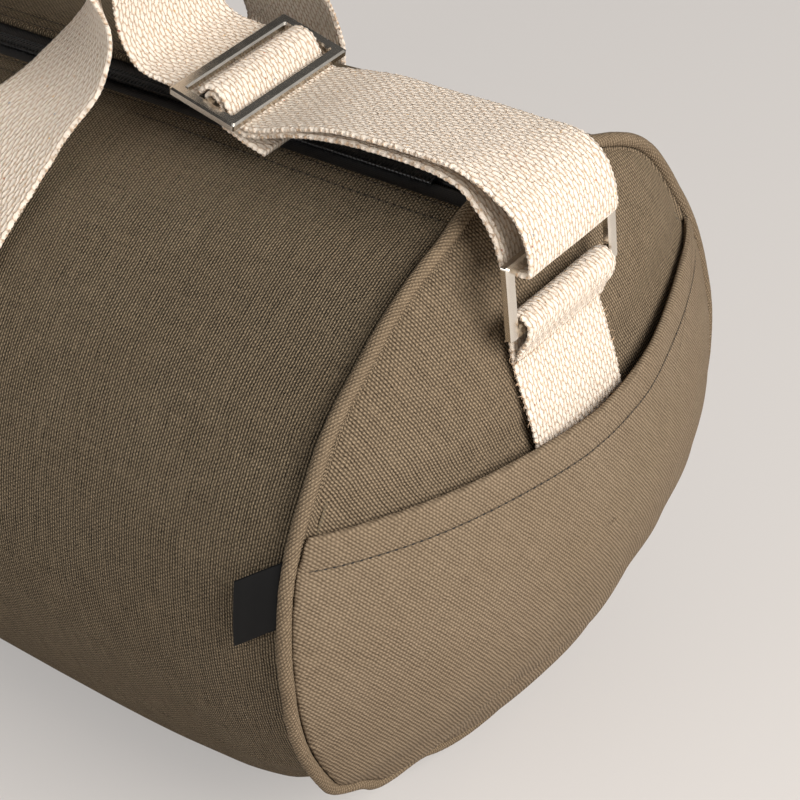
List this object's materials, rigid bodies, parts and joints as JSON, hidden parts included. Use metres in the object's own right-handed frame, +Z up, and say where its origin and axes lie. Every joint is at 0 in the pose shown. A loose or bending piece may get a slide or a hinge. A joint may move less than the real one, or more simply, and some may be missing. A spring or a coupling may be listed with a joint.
{
  "type": "barrel bag",
  "caption": "Cylindrical canvas duffle with piped domed ends, slip pockets, coil zip, webbing handles and an adjustable webbing shoulder strap on metal rings.",
  "frame": {"origin": "middle of the underside, on the floor the bag stands on", "axes": "+X along the barrel towards the end with the adjuster, +Y to the back, +Z up"},
  "size_m": [0.5816, 0.258, 0.4061],
  "materials": {
    "canvas": "taupe plain-weave cotton canvas",
    "cotton_cord": "undyed cotton cord",
    "binding_tape": "woven cotton binding tape",
    "zip_tape": "black woven polyester tape",
    "zip_coil": "black nylon coil",
    "nickel": "bright nickel plate",
    "webbing": "natural coarse cotton webbing",
    "label_tape": "black woven satin tape, bare"
  },
  "bodies": {
    "bag": {"body_panel": "canvas", "zip_facing_front": "canvas", "zip_facing_back": "canvas", "end_panel_right": "canvas", "end_panel_left": "canvas", "end_pocket_right": "canvas", "end_pocket_left": "canvas", "piping_right": "canvas", "piping_left": "canvas", "piping_cord_right": "cotton_cord", "piping_cord_left": "cotton_cord", "seam_binding_right": "binding_tape", "seam_binding_left": "binding_tape", "zip_tape_front": "zip_tape", "zip_tape_back": "zip_tape", "zip_coil_front": "zip_coil", "zip_coil_back": "zip_coil", "handle_end_front_right": "webbing", "handle_end_front_left": "webbing", "handle_end_back_right": "webbing", "handle_end_back_left": "webbing", "ring_tab_right": "webbing", "ring_tab_left": "webbing", "shoulder_strap": "webbing", "strap_adjuster": "nickel", "side_label": "label_tape"},
    "slider": {"zip_slider": "nickel"},
    "pull": {"zip_pull": "nickel"},
    "front_handle": {"handle_front": "webbing"},
    "back_handle": {"handle_back": "webbing"},
    "right_ring": {"strap_ring_right": "nickel"},
    "left_ring": {"strap_ring_left": "nickel"}
  },
  "joints": [
    {"name": "slider_slide", "type": "slide", "parent": "bag", "child": "slider", "axis": [1, 0, 0], "range_m": [0, 0.3], "deforming": ["zip_coil_front", "zip_coil_back"]},
    {"name": "pull_hinge", "type": "hinge", "parent": "slider", "child": "pull", "pos_m": [-0.2253, 0, 0.23721], "axis": [0, -1, 0], "range_deg": [0, 60]},
    {"name": "front_handle_hinge", "type": "hinge", "parent": "bag", "child": "front_handle", "pos_m": [0, -0.11252, 0.17482], "axis": [1, 0, 0], "range_deg": [0, 120]},
    {"name": "back_handle_hinge", "type": "hinge", "parent": "bag", "child": "back_handle", "pos_m": [0, 0.11252, 0.17482], "axis": [-1, 0, 0], "range_deg": [0, 120]},
    {"name": "right_ring_swing", "type": "hinge", "parent": "bag", "child": "right_ring", "pos_m": [0.2758, 0, 0.2048], "axis": [0, 1, 0], "range_deg": [-4, 4]},
    {"name": "left_ring_swing", "type": "hinge", "parent": "bag", "child": "left_ring", "pos_m": [-0.2758, 0, 0.2048], "axis": [0, -1, 0], "range_deg": [-4, 4]}
  ]
}
